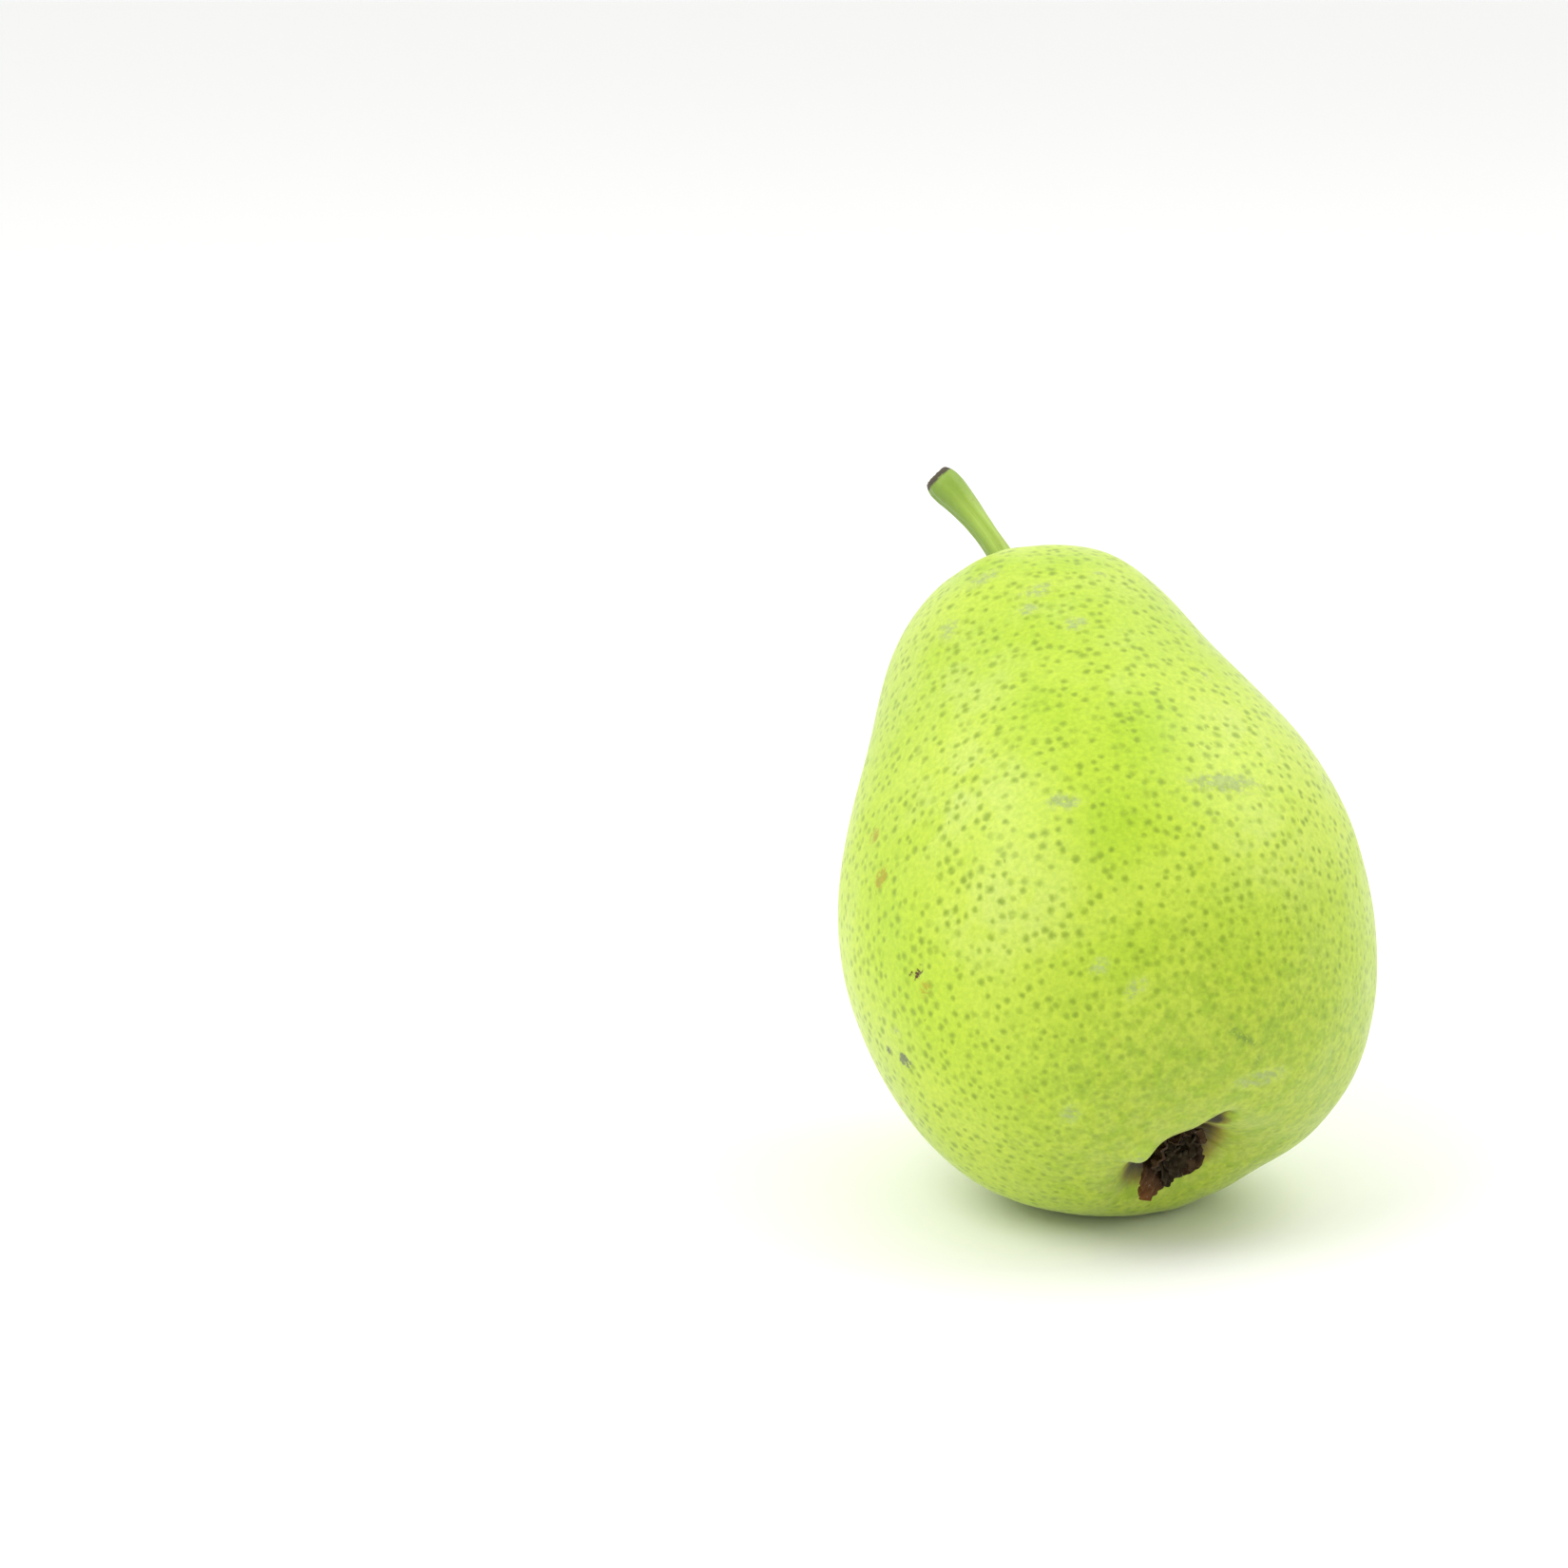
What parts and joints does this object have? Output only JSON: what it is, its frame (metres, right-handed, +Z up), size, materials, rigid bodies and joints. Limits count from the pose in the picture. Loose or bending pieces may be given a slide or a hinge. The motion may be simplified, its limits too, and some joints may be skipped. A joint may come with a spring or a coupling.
{
  "type": "pear",
  "caption": "Stout green pear with a bent, flared stem and a dried flower in its basin, leaning back at rest on a small flat spot.",
  "frame": {"origin": "centre of the flat spot that the pear rests on", "axes": "+Z up, -Y to the front where the dried flower shows, +X to the right; the fruit's own axis leans 39.5 degrees from +Z, towards the back and a little left"},
  "size_m": [0.0761, 0.087, 0.0982],
  "materials": {
    "skin": "waxy yellow-green pear skin with small olive dots, pale scuffs and a soft sheen",
    "stalk": "fleshy light green stalk, darker on one side, brown-grey at the cut end",
    "dried_sepal": "dry, curled, matte dark brown with reddish edges",
    "dried_stamen": "dry, matte, nearly black"
  },
  "bodies": {
    "root": {"fruit": "skin", "stem": "stalk", "sepal_1": "dried_sepal", "sepal_2": "dried_sepal", "sepal_3": "dried_sepal", "sepal_4": "dried_sepal", "sepal_5": "dried_sepal", "stamen_tuft": "dried_stamen"}
  },
  "joints": []
}
